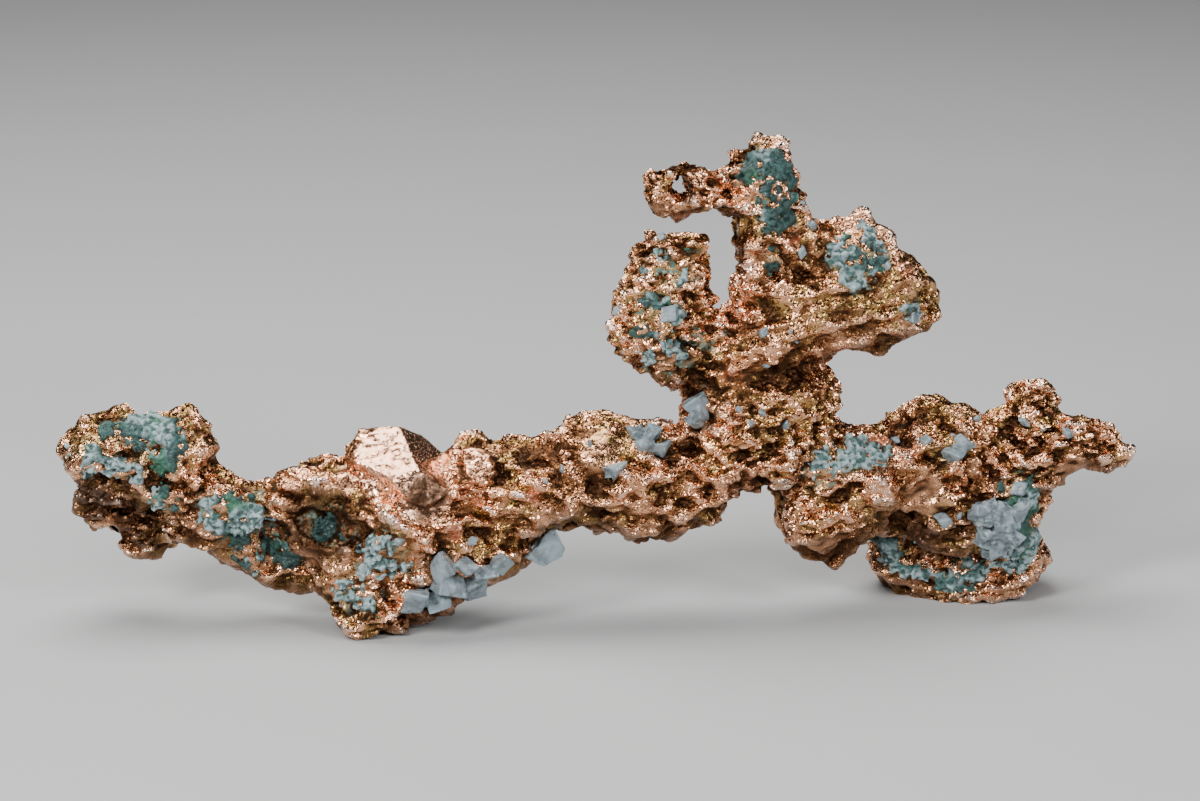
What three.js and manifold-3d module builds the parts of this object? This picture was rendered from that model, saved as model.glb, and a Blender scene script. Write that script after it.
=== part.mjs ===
// A branching nugget of native copper with the crystals and mineral crusts that grew on it.
// Millimetres, +Z up. The nugget's length lies along X, its display face looks along -Y, and
// the origin is the middle of its footprint, on the surface that its feet stand on.
//
// The copper is a sum of rounded lumps that melt into each other, set along three limbs: a long
// left limb, a short right limb and a tower that forks into two lobes. It is one body of metal,
// and it is parted here only at its main forks, by cuts GAP wide.

import * as THREE from "three";
import { ConvexGeometry } from "three/addons/geometries/ConvexGeometry.js";
import { SimplexNoise } from "three/addons/math/SimplexNoise.js";
import { MarchingCubes } from "three/addons/objects/MarchingCubes.js";
import { mergeVertices } from "three/addons/utils/BufferGeometryUtils.js";
import Module from "manifold-3d";

const wasm = await Module();
wasm.setup();

// ---- driving dimensions ----------------------------------------------------------------

const CELL = 2.1; // grid step that the copper's surface is drawn on
const CELLS = 64; // grid steps along each edge of the cube that holds the copper
const GRID_MIDDLE = [0, 0, 26.1]; // middle of that cube
const GAP = 0.3; // width of the cut at a fork
const CLEAR = 0.45; // clearance between the copper and what grew on it
const MELT = 1.6; // reach of the fillet where two lumps run together
const CRAG = 0.45; // height of the copper's broad knobs
const CRAG_SPAN = 5.5; // distance from one knob to the next
const REACH = 60; // more than the nugget's half length
const LINE_DROP = 0.268; // fall of the line that a growth is set along, for each mm of depth
const CRUST_HEIGHT = 1.55; // how far a crust stands out of the copper at its middle
const RUGGED = 0.12; // unevenness of a crust or a crystal, as a part of its size
const FLOOR_RISE = 0.4; // lowest that a growth beside a foot reaches
const PAST_FORK = 2.5; // how far a fork's cut runs past each end of its line
const LINE_REACH = 20; // how far out from the nugget's middle that line starts
const LINE_STEP = 0.05; // step along that line
const LEAN = 0.22; // how far a crystal's faces lean over, for each mm of its half width
const CORNER = 0.9; // how far a crystal's corners lie out along each of its edges, as a factor
const CHIP = 0.4; // how far a crystal's corners may be chipped back, as a part of its size
const LEAST_FIELD = 0.14; // least distance from the copper's surface that the grid holds
const MOST_TRIANGLES = 40000; // room for the triangles of the copper's surface
const WELD = 1e-5; // corners nearer than this are one corner
const TINY = 1e-6; // keeps the division sound at a lump's middle
const SEED = 11; // picks the knobs of the copper and the leans of the crystals
const EYE = { x: 9.2, z: 44.6, radius: 0.9, length: 12, sides: 8 }; // the hole through the curl

const COPPER = { color: 0xb9775a, roughness: 0.38, metalness: 1 };
const CRUST = { color: 0x6f9c93, roughness: 0.85, metalness: 0 };
const CALCITE = { color: 0xc3cecd, roughness: 0.35, metalness: 0 };

// ---- the copper's lumps: x, y, z, then the three radii, then the lean in degrees ----------
// A positive lean lifts the lump's +X end.

const LEFT_LIMB = [
  // the broad plate at the far left end, with a knob at each upper corner
  [-42.8, -1, 17, 5.8, 4, 4.4, -10],
  [-49.4, -1.5, 17.8, 4.6, 3.2, 2.9, 25],
  [-47.1, -0.5, 20.9, 1.5, 1.7, 1.6, 0],
  [-40.4, 0, 20.5, 1.4, 1.8, 1.6, 0],
  [-40.2, 0, 17, 2, 3, 3.8, 0],
  // the lip that runs down to the neck, and the knobs set back under it
  [-42, -2, 13.8, 5, 3, 2.6, -20],
  [-36.5, -2, 11.6, 5, 3.2, 2.8, -20],
  [-48.4, 1.5, 11.6, 3.8, 3, 3.1, 0],
  [-44.8, 1, 8.5, 3.3, 3, 2.4, 0],
  [-38.5, -0.5, 9.4, 3.5, 3, 2.4, -20],
  // the neck
  [-32.3, -1, 12.3, 3, 3, 2, 0],
  [-33.8, -1, 7, 4, 3, 2.3, -35],
  [-29.8, -1, 5.6, 3, 3, 2.2, 0],
  // the thick body above the left foot
  [-25.8, -2, 11.4, 5.5, 5.5, 5.2, 0],
  [-28.8, -2, 14.6, 2.5, 3, 1.8, 0],
  [-19.8, -2.5, 10.8, 7, 6.5, 6.3, 0],
  [-13.8, -2, 9.7, 6, 6, 5.5, 0],
  [-10.2, -2.5, 8.2, 4.6, 4, 3.6, 0],
  // the left foot
  [-24.1, -4, 6.5, 3.8, 4, 4, 0],
  [-21.6, -5, 2.6, 3.5, 4, 3.7, 0],
  [-17.3, -4, 4.5, 4.5, 4, 3.5, 0],
  // the bar, up to where it meets the tower
  [-11, -2, 14.8, 4.3, 4.5, 4.6, 0],
  [-5.8, -1.5, 13.7, 5.5, 5.2, 5, 0],
  [0.2, -1, 15.1, 6, 5.5, 5.4, 0],
  [1, -0.5, 18, 5, 4, 2.8, 15],
  [5.2, -1, 13.5, 5.5, 5, 5.2, 0],
  [5.7, 0, 17.4, 3.5, 3.5, 2.6, 0],
  [10.2, 0, 14.3, 5, 5, 5.2, 0],
];

const TOWER = [
  // the root, where the three limbs meet
  [15.7, 0.5, 18.3, 6.2, 5, 6, 0],
  [21.2, 2, 17.4, 5, 5, 4, 0],
  [16, 1, 23.9, 6.4, 5, 6, 0],
  [20.7, 1.5, 22.2, 4.2, 4, 4.5, 0],
  // the stem and the crown
  [17.6, 1.5, 28.9, 5.8, 4.5, 4.5, 0],
  [19, 1.5, 34.1, 4.5, 4, 5.5, 0],
  [15.4, 1.5, 38.2, 2.1, 1.5, 1.2, 0],
  [18.2, 1.5, 39.3, 4, 3.5, 4, 0],
  [17.7, 1.5, 43.4, 3.4, 3.2, 3.8, 0],
  [17.2, 1.5, 46.3, 3, 2.8, 2.6, 0],
  // the curl that reaches back over the slit, and the hook at its end
  [13.5, 1, 43.6, 2.8, 2, 1.7, 0],
  [9.4, 0.5, 44.6, 3.1, 2.2, 2.6, 0],
  [10.9, 0.5, 43.4, 2.4, 2, 1.8, 0],
  [6.5, 0, 44.3, 1, 1, 1.8, 0],
  [6.5, 0, 43.1, 0.8, 0.8, 0.8, 0],
  // the right lobe
  [25.2, 2.5, 33.3, 7.5, 4.5, 5.5, 0],
  [30.4, 3, 32.3, 4.6, 3.8, 4.4, -15],
  [27.2, 2.5, 38.3, 3, 3, 2.9, 0],
  [23.5, 2.5, 37.8, 2.5, 2.5, 2, 0],
  [28.9, 3, 27, 1.4, 1.5, 1.3, 0],
  [22.2, 2, 29.3, 4.3, 4, 2.5, 0],
];

const SLIT_LOBE = [
  // the left lobe, held only at its foot, with the slit between it and the stem
  [8, 0, 35.3, 4.2, 3.2, 4.3, 0],
  [6.7, -0.5, 30.5, 4.6, 3.6, 4.6, 0],
  [10.2, 0, 28.3, 3.2, 3, 2.8, 0],
  [8.2, -0.3, 27.3, 3.5, 3, 2.2, -25],
  [10.9, 0, 37.6, 1.3, 2, 1.9, 0],
  [6.1, 0.3, 38.2, 1.5, 1.5, 1.5, 0],
  [8.4, 0.2, 37.7, 2.6, 2.2, 1.3, 0],
  [10.9, 0, 32.9, 1.5, 2.2, 3, 0],
];

const RIGHT_LIMB = [
  // the apron that hangs below the fork
  [23.2, 2.5, 13.6, 5, 5, 5, 0],
  [22.9, 1.5, 9.9, 3.8, 4.5, 4.4, 0],
  [24.2, 1.3, 5.6, 1.6, 2, 1.8, 0],
  [27.2, 3.5, 9.6, 3.6, 4, 3, 0],
  // the arm
  [28.2, 3.5, 14.2, 5.5, 5.5, 4.8, 0],
  [34.2, 5, 15.6, 5.5, 5.5, 4.6, 0],
  [36, 5, 19.6, 2.8, 3, 2, 0],
  [40, 5.5, 16.8, 3, 3.5, 2.8, 0],
  [37.2, 6, 10.6, 6.5, 6.5, 5.5, 0],
  [42.9, 7, 8.8, 3.5, 6, 5.5, 0],
  [32, 8.5, 9.5, 5, 4, 4.8, 0],
  [33.2, 9, 3.2, 4.2, 5, 3.2, 0],
  // the right foot
  [38.9, 10, 1.8, 8, 6.5, 3.8, 0],
  [43.7, 9, 4, 3.2, 5.5, 3.4, 0],
  // the head at the far right and its snout
  [45, 5.5, 18.4, 3.4, 3.4, 4.3, 0],
  [45.2, 5.5, 14.4, 3.5, 3.5, 2.6, 0],
  [50.6, 5.5, 16.7, 4.6, 3, 2.7, -8],
];

// Hollows, given the same way.
const HOLLOWS = [
  [-26.6, -8.4, 12.1, 3.8, 3, 2.3, 0], // the dark pocket in the body
  [32, -1, 7.4, 3.6, 5, 2.6, 0], // the cave under the right arm
  [-47, -4, 10.5, 4, 4, 3, 0], // the undercut below the lip
  [13.4, 0, 35, 0.9, 8, 6, 0], // the slit in the tower
  [16.7, 0, 11.2, 2.4, 9, 2.4, 0], // the arch below the fork
];

// Corners of the big flat-faced copper crystal that stands out of the thick body.
const BIG_CRYSTAL = [
  // the front face, tipped back
  [-23.1, -2.3, 20],
  [-20.7, -2.5, 20.5],
  [-18.7, -3.1, 20.6],
  [-23.2, -5, 17.7],
  [-19.4, -7.6, 16.6],
  [-16.6, -7.5, 17.4],
  // the right face and the lower face
  [-16.6, -1.1, 19.2],
  [-13.7, -0.8, 16.6],
  [-13.4, -6.4, 14.8],
  [-16, -8.3, 13.8],
  [-17.6, -8.3, 14.4],
  // the left corner and the back
  [-24.7, -2, 17.3],
  [-22, 1.5, 19],
  [-18, 1.8, 18.8],
  [-22, 0, 11],
  [-15, 0, 11],
];

// The cuts at the forks: each runs between two points of the X-Z plane.
const FORKS = {
  left: { from: [8.8, 19.2], to: [13.4, 11.2] },
  right: { from: [25, 19.5], to: [17.7, 13.3] },
  slit: { from: [12.7, 30.1], to: [9.5, 23.5] },
};

// ---- what grew on the copper ------------------------------------------------------------
// Places are across and up on the face that the growth lies on. A crust is a list of dabs with
// a half width and a half height, and a crystal cluster is a list of blocks with the same and
// with how far the block stands out.

const FRONT = -1;
const BACK = 1;

const CRUSTS = {
  crust_left_end: [FRONT, [-42.6, 19.3, 2.9, 2], [-42, 17.3, 1.7, 1.8], [-46.2, 19.4, 2.6, 1.2]],
  crust_left_end_low: [FRONT, [-48.4, 15.6, 1.8, 1.1], [-45.9, 15, 1.8, 0.8]],
  crust_left_end_tip: [FRONT, [-51.6, 17.6, 1.3, 0.7], [-49.8, 18.1, 1.4, 0.6]],
  crust_left_end_middle: [FRONT, [-42.6, 13.4, 1.5, 1], [-42.2, 11.8, 1.5, 1]],
  crust_neck: [FRONT, [-36.8, 10.6, 2.3, 1.8], [-34.4, 10.5, 1.7, 1.8], [-35.2, 12.2, 1.5, 1]],
  crust_neck_top: [FRONT, [-32.4, 12.8, 1.6, 0.8]],
  crust_neck_under: [
    FRONT,
    [-34, 7.3, 2.3, 1.1],
    [-32.4, 7.1, 2.3, 1.5],
    [-30.6, 6.2, 1.9, 1.9],
    [-33.8, 5.9, 1.9, 1.7],
  ],
  crust_body_pocket: [FRONT, [-26.4, 9.2, 1.7, 1.1], [-25, 9.6, 1.2, 1]],
  crust_left_foot: [FRONT, [-20.8, 7.6, 2, 1.1], [-18.6, 6.4, 2.2, 1.5], [-20.8, 5.2, 2.1, 1.2]],
  crust_left_foot_low: [FRONT, [-24, 2.7, 1.5, 1], [-22.4, 1.9, 1.3, 1]],
  crust_crown: [
    FRONT,
    [16.2, 45.7, 1.8, 1],
    [18.4, 45.2, 2.4, 1.5],
    [18.6, 43, 1.9, 1.9],
    [18.8, 41.2, 1.6, 1.4],
  ],
  crust_crown_top: [FRONT, [17.7, 47.7, 1.7, 0.8]],
  crust_stem_pit: [FRONT, [18, 36.2, 1.1, 1.3]],
  crust_lobe_upper: [FRONT, [6.7, 36.1, 1.4, 1.1], [8.4, 34.9, 1.7, 1.1], [10, 36.3, 1.6, 1.5]],
  crust_lobe_lower: [FRONT, [6, 31.3, 1.3, 1.7], [5.8, 29.8, 1.5, 1.4], [7.9, 31.2, 1.4, 1]],
  crust_lobe_base: [FRONT, [6.8, 26.9, 1.9, 1.3], [8.6, 26, 1.5, 1]],
  crust_slit_foot: [FRONT, [11.7, 28.9, 1.4, 0.9]],
  crust_right_lobe: [
    FRONT,
    [27.2, 39.4, 2.1, 1.3],
    [25.8, 37.7, 1.5, 1.4],
    [28, 37.2, 2.1, 1.5],
    [26.5, 35.6, 1.1, 1.4],
  ],
  crust_right_lobe_tip: [FRONT, [32.2, 31.2, 1.1, 0.9]],
  crust_right_arm: [FRONT, [24.9, 16.2, 2.1, 1.1], [23.5, 14.9, 1.4, 1.1], [23, 17.8, 1.3, 1.1]],
  crust_right_arm_middle: [FRONT, [27.7, 17.6, 1.1, 1.5], [29.1, 17.1, 1.1, 1.3]],
  crust_right_foot_band: [
    FRONT,
    [30.8, 6.9, 1.8, 1.1],
    [32.6, 5.9, 2.2, 1.3],
    [34.2, 5.2, 2.2, 1.3],
    [35.8, 4.5, 2.3, 1.4],
    [37.6, 3.5, 2, 1.3],
  ],
  crust_right_foot_patch: [FRONT, [38.9, 6.1, 2.2, 1.6], [40.9, 6, 2.3, 1.5]],
  crust_right_foot_side: [
    FRONT,
    [41, 14, 2.4, 1.4],
    [43.4, 12.6, 2.2, 1.7],
    [44.6, 10.2, 1.9, 2.2],
    [44.6, 7.4, 1.9, 1.9],
    [43.6, 5.9, 1.8, 1.3],
  ],
  crust_back_bar: [BACK, [-4, 15.5, 2.6, 1.7], [-1.4, 14.4, 2.4, 1.6], [-6.2, 14, 1.9, 1.5]],
  crust_back_tower: [BACK, [17, 33.5, 2.2, 1.8], [19.2, 35.2, 1.9, 1.7], [16.6, 30.9, 1.6, 1.8]],
  crust_back_right_arm: [BACK, [33.6, 14.5, 2.5, 1.4], [36.4, 13, 1.9, 1.6]],
};

const CRYSTALS = {
  calcite_left_foot: [
    FRONT,
    [-14.4, 5.5, 1.7, 1.2, 1.6],
    [-12.2, 5.6, 1, 1, 1.5],
    [-10.4, 5.1, 1.5, 1, 1.5],
    [-8.6, 6, 1.1, 1, 1.3],
    [-14.2, 3.8, 1.9, 1.1, 1.8],
    [-14.8, 2, 1.7, 1.1, 1.8],
    [-17, 2, 1.4, 1.6, 1.6],
    [-12, 3.4, 1.6, 1.7, 1.7],
  ],
  calcite_bar_single: [FRONT, [2.6, 15.3, 1, 1, 1.2]],
  calcite_shoulder: [
    FRONT,
    [4.6, 19, 1.2, 1, 1.3],
    [6.2, 18.9, 1.2, 1.1, 1.3],
    [5.6, 17.6, 1.2, 1, 1.3],
    [7.2, 17.5, 0.9, 0.9, 1.2],
  ],
  calcite_tower_foot: [
    FRONT,
    [10.9, 22.2, 1.3, 1, 1.4],
    [11.2, 20.9, 1.2, 1, 1.4],
    [10.8, 20.2, 1.3, 0.9, 1.3],
  ],
  calcite_right_arm: [
    FRONT,
    [36.5, 16.9, 1.1, 0.9, 1.3],
    [36.9, 18.1, 0.9, 0.8, 1.2],
    [38.2, 17.8, 1.1, 0.9, 1.3],
    [38.6, 16.4, 1, 1, 1.3],
    [38.2, 15.1, 1.1, 1, 1.3],
  ],
  calcite_right_foot: [
    FRONT,
    [39.9, 12.2, 1.1, 0.9, 1.4],
    [41.6, 12, 1.1, 0.9, 1.5],
    [39.6, 10.6, 1.1, 1, 1.5],
    [41.3, 10.3, 1.3, 1.1, 1.8],
    [43, 10.4, 1.1, 1, 1.5],
    [40.4, 8.9, 1.2, 1, 1.6],
    [42.2, 8.6, 1.3, 1.1, 1.7],
    [41.4, 7.4, 1.1, 0.9, 1.5],
  ],
};

// Corners of the calcite tablet that hangs from the underside of the bar.
const DROP = [
  [-4.5, -4.5, 10.1],
  [-3.2, -4.4, 10.1],
  [-2.2, -4.2, 8.3],
  [-2.5, -4.2, 7.4],
  [-4.4, -4.4, 6.4],
  [-5.9, -4.3, 7],
  [-5.6, -4.5, 8.6],
  [-4.4, -2.4, 10.1],
  [-3.4, -2.4, 10.1],
  [-2.6, -2.8, 8],
  [-4.3, -2.8, 7],
  [-5.4, -2.8, 7.6],
];

// ---- distance fields --------------------------------------------------------------------

THREE.MathUtils.seededRandom(SEED);
const noise = new SimplexNoise({ random: () => THREE.MathUtils.seededRandom() });

// A lump as a function that gives the distance from a point to its surface, negative inside.
function lump([x, y, z, rx, ry, rz, lean]) {
  const angle = THREE.MathUtils.degToRad(lean);
  const cos = Math.cos(angle);
  const sin = Math.sin(angle);
  return (px, py, pz) => {
    const u = ((px - x) * cos + (pz - z) * sin) / rx;
    const v = (py - y) / ry;
    const w = ((pz - z) * cos - (px - x) * sin) / rz;
    const scaled = Math.hypot(u, v, w);
    return (scaled * (scaled - 1)) / Math.max(Math.hypot(u / rx, v / ry, w / rz), TINY);
  };
}

// The smaller of two distances, with a fillet where they are nearly equal.
function melt(a, b) {
  const near = Math.max(MELT - Math.abs(a - b), 0) / MELT;
  return Math.min(a, b) - (near * near * MELT) / 4;
}

const lumps = [...LEFT_LIMB, ...TOWER, ...SLIT_LOBE, ...RIGHT_LIMB].map(lump);
const hollows = HOLLOWS.map(lump);

function copperAt(x, y, z) {
  let distance = REACH;
  for (const each of lumps) distance = melt(distance, each(x, y, z));
  for (const each of hollows) distance = -melt(-distance, each(x, y, z));
  return distance - CRAG * noise.noise3d(x / CRAG_SPAN, y / CRAG_SPAN, z / CRAG_SPAN);
}

// ---- solids -----------------------------------------------------------------------------

// A closed geometry as a manifold-3d solid, with its shared vertices merged.
function solidOf(geometry) {
  const bare = geometry.clone();
  for (const name of Object.keys(bare.attributes)) {
    if (name !== "position") bare.deleteAttribute(name);
  }
  const merged = mergeVertices(bare, WELD);
  return new wasm.Manifold(
    new wasm.Mesh({
      numProp: 3,
      vertProperties: new Float32Array(merged.attributes.position.array),
      triVerts: new Uint32Array(merged.index.array),
    }),
  );
}

// The surface that lies a given distance outside the copper. Values very near zero are pushed
// off it, which keeps slivers out of the mesh.
function copperSurface(outside) {
  const cubes = new MarchingCubes(CELLS, new THREE.Material(), false, false, MOST_TRIANGLES);
  const [cx, cy, cz] = GRID_MIDDLE;
  const half = CELLS / 2;
  for (let k = 0; k < CELLS; k++) {
    for (let j = 0; j < CELLS; j++) {
      for (let i = 0; i < CELLS; i++) {
        const [x, y, z] = [cx + (i - half) * CELL, cy + (j - half) * CELL, cz + (k - half) * CELL];
        const inside = outside - copperAt(x, y, z);
        const pushed = Math.sign(inside) * Math.max(Math.abs(inside), LEAST_FIELD);
        cubes.field[i + CELLS * (j + CELLS * k)] = pushed;
      }
    }
  }
  cubes.isolation = 0;
  cubes.update();
  const count = cubes.geometry.drawRange.count;
  const drawn = cubes.geometry.attributes.position.array.slice(0, count * 3);
  const geometry = new THREE.BufferGeometry();
  geometry.setAttribute("position", new THREE.BufferAttribute(drawn, 3));
  const scale = half * CELL;
  geometry.scale(scale, scale, scale);
  geometry.translate(cx, cy, cz);
  return largestBody(solidOf(geometry));
}

function largestBody(solid) {
  const bodies = solid.decompose();
  return bodies.reduce((best, each) => (each.volume() > best.volume() ? each : best));
}

function union(solids) {
  return solids.reduce((sum, each) => sum.add(each));
}

// A convex solid around the given corners, grown by a distance away from their middle.
function hullOf(corners, grown = 0) {
  const points = corners.map((corner) => new THREE.Vector3(...corner));
  const middle = new THREE.Vector3();
  for (const point of points) middle.addScaledVector(point, 1 / points.length);
  for (const point of points) {
    const out = point.clone().sub(middle).normalize();
    point.addScaledVector(out, grown);
  }
  return solidOf(new ConvexGeometry(points));
}

// A slab along a fork's line that runs a little past both of its ends.
function forkSlab({ from, to }) {
  const [run, rise] = [to[0] - from[0], to[1] - from[1]];
  const slab = new THREE.BoxGeometry(Math.hypot(run, rise) + 2 * PAST_FORK, 2 * REACH, GAP);
  slab.rotateY(-Math.atan2(rise, run));
  slab.translate((from[0] + to[0]) / 2, 0, (from[1] + to[1]) / 2);
  return solidOf(slab);
}

// ---- the copper -------------------------------------------------------------------------

function floorUpTo(height) {
  const box = new THREE.BoxGeometry(4 * REACH, 4 * REACH, REACH);
  box.translate(0, 0, height - REACH / 2);
  return solidOf(box);
}

// The small hole through the curl, which falls as a growth's line does.
function eyeOfCurl() {
  const bore = new THREE.CylinderGeometry(EYE.radius, EYE.radius, EYE.length, EYE.sides);
  bore.rotateX(-Math.atan(LINE_DROP));
  bore.translate(EYE.x, 0, EYE.z);
  return solidOf(bore);
}

const copper = copperSurface(0).add(hullOf(BIG_CRYSTAL)).subtract(floorUpTo(0)).subtract(eyeOfCurl());

// The room that the copper takes from its growths: more than the metal, and never less than
// the metal moved towards the display face.
const grownCopper = union([
  copperSurface(CLEAR),
  hullOf(BIG_CRYSTAL, CLEAR),
  copper.translate([0, -GAP, 0]),
  copper,
]);

function copperPieces() {
  const bodies = copper.subtract(union(Object.values(FORKS).map(forkSlab))).decompose();
  const furthest = (place) => bodies.reduce((best, each) => (place(each) > place(best) ? each : best));
  const left = furthest((body) => -body.boundingBox().min[0]);
  const right = furthest((body) => body.boundingBox().max[0]);
  const tower = furthest((body) => body.boundingBox().max[2]);
  const lobe = largestBody(union(bodies.filter((body) => ![left, right, tower].includes(body))));
  return {
    copper_left_limb: left,
    copper_tower: tower,
    copper_slit_lobe: lobe,
    copper_right_limb: right,
  };
}

// ---- growths on the copper --------------------------------------------------------------

// Where a growth's line meets the copper, as a frame: X across, Y up the surface, Z out of it.
function seatOn(side, across, up) {
  const at = new THREE.Vector3(across, 0, 0);
  const depths = Math.round(LINE_REACH / LINE_STEP);
  for (let step = depths; step > -depths; step--) {
    at.y = side * step * LINE_STEP;
    at.z = up + side * LINE_DROP * at.y;
    if (copperAt(at.x, at.y, at.z) <= 0) break;
    if (step === 1 - depths) throw new Error(`no copper behind ${across}, ${up}`);
  }
  const out = new THREE.Vector3(
    copperAt(at.x + LINE_STEP, at.y, at.z) - copperAt(at.x - LINE_STEP, at.y, at.z),
    copperAt(at.x, at.y + LINE_STEP, at.z) - copperAt(at.x, at.y - LINE_STEP, at.z),
    copperAt(at.x, at.y, at.z + LINE_STEP) - copperAt(at.x, at.y, at.z - LINE_STEP),
  ).normalize();
  const along = new THREE.Vector3(-side, 0, 0).addScaledVector(out, side * out.x).normalize();
  const upward = new THREE.Vector3().crossVectors(out, along);
  return new THREE.Matrix4().makeBasis(along, upward, out).setPosition(at);
}

// An uneven body on the copper: half of it stands out, and half lies inside the metal.
function bodyOn(side, [across, up, halfWidth, halfHeight, height], shape, grown = 0) {
  const body = shape.clone();
  const corners = body.attributes.position;
  const corner = new THREE.Vector3();
  for (let i = 0; i < corners.count; i++) {
    corner.fromBufferAttribute(corners, i);
    const bump = noise.noise3d(corner.x + across, corner.y + up, corner.z);
    corners.setXYZ(i, ...corner.multiplyScalar(1 + RUGGED * bump));
  }
  body.scale(halfWidth + grown, halfHeight + grown, height + grown);
  body.applyMatrix4(seatOn(side, across, up));
  return solidOf(body);
}

function crustOf([side, ...dabs]) {
  const rounded = new THREE.OctahedronGeometry(1, 1);
  return union(dabs.map((dab) => bodyOn(side, [...dab, CRUST_HEIGHT], rounded)));
}

// A block of calcite, which is a box that leans over along all three of its edges. It is turned
// and tipped its own way.
function rhomb(across, up) {
  const corners = [];
  for (const x of [-CORNER, CORNER]) {
    for (const y of [-CORNER, CORNER]) {
      for (const z of [-CORNER, CORNER]) {
        const chipped = 1 - CHIP * Math.abs(noise.noise3d(x + across, y + up, z));
        corners.push(new THREE.Vector3(x + LEAN * y, y + LEAN * z, z + LEAN * x).multiplyScalar(chipped));
      }
    }
  }
  const block = new ConvexGeometry(corners);
  block.rotateZ(Math.PI * noise.noise3d(across, up, 0));
  block.rotateX(noise.noise3d(up, across, 0));
  return block;
}

function clusterOf([side, ...blocks], grown = 0) {
  return union(blocks.map((block) => bodyOn(side, block, rhomb(block[0], block[1]), grown)));
}

const clusterRoom = union(Object.values(CRYSTALS).map((cluster) => clusterOf(cluster, GAP)));

// What is left of a growth where the copper, the floor and any other growth leave room for it.
function trimmed(growth, ...others) {
  const taken = [grownCopper, floorUpTo(FLOOR_RISE), ...others];
  return largestBody(taken.reduce((rest, each) => rest.subtract(each), growth));
}

// ---- the nugget -------------------------------------------------------------------------

const nugget = new THREE.Group();

function addPiece(name, solid, finish) {
  const { vertProperties, triVerts } = solid.getMesh();
  const geometry = new THREE.BufferGeometry();
  geometry.setAttribute("position", new THREE.BufferAttribute(vertProperties, 3));
  geometry.setIndex(new THREE.BufferAttribute(triVerts, 1));
  geometry.computeVertexNormals();
  const mesh = new THREE.Mesh(geometry, new THREE.MeshStandardMaterial(finish));
  mesh.name = name;
  nugget.add(mesh);
}

for (const [name, solid] of Object.entries(copperPieces())) addPiece(name, solid, COPPER);
for (const [name, crust] of Object.entries(CRUSTS)) {
  addPiece(name, trimmed(crustOf(crust), clusterRoom), CRUST);
}
for (const [name, cluster] of Object.entries(CRYSTALS)) {
  addPiece(name, trimmed(clusterOf(cluster)), CALCITE);
}
addPiece("calcite_drop", trimmed(hullOf(DROP)), CALCITE);

const middle = new THREE.Box3().setFromObject(nugget).getCenter(new THREE.Vector3());
nugget.position.set(-middle.x, -middle.y, 0);

export default nugget;
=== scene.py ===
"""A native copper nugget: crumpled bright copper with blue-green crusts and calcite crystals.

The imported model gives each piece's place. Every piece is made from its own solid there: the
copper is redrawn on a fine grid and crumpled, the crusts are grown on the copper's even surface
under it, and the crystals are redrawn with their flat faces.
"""

import math

import bmesh
import bpy
import numpy as np
from bpy.props import FloatProperty, FloatVectorProperty, PointerProperty
from mathutils import Euler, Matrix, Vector
from mathutils.bvhtree import BVHTree


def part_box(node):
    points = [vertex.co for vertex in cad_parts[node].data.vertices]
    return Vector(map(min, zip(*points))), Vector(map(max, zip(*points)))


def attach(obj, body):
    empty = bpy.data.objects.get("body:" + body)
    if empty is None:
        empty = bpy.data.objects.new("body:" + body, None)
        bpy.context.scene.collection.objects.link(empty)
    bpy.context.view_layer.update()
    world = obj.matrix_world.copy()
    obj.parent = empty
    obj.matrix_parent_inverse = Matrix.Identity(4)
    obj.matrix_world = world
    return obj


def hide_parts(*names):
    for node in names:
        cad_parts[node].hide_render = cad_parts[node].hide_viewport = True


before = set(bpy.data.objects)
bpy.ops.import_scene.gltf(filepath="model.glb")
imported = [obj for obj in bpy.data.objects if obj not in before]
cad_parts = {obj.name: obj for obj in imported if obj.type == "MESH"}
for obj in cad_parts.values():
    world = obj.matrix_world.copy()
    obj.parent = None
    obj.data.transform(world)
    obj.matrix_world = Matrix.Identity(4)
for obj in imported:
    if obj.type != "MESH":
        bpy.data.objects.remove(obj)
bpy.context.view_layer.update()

bl_info = {
    "name": "Native copper nugget",
    "version": (1, 0, 0),
    "blender": (4, 5, 0),
    "location": "View3D > Sidebar > Nugget",
    "description": "Makes a branching copper nugget with crusts and crystals on it",
    "category": "Object",
}

MM = 0.001
COPPER_NODES = ("copper_left_limb", "copper_tower", "copper_slit_lobe", "copper_right_limb")

# In millimetres, as the points are while they are moved.
FLOOR_GAP = 0.02


# ---- settings --------------------


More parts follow.
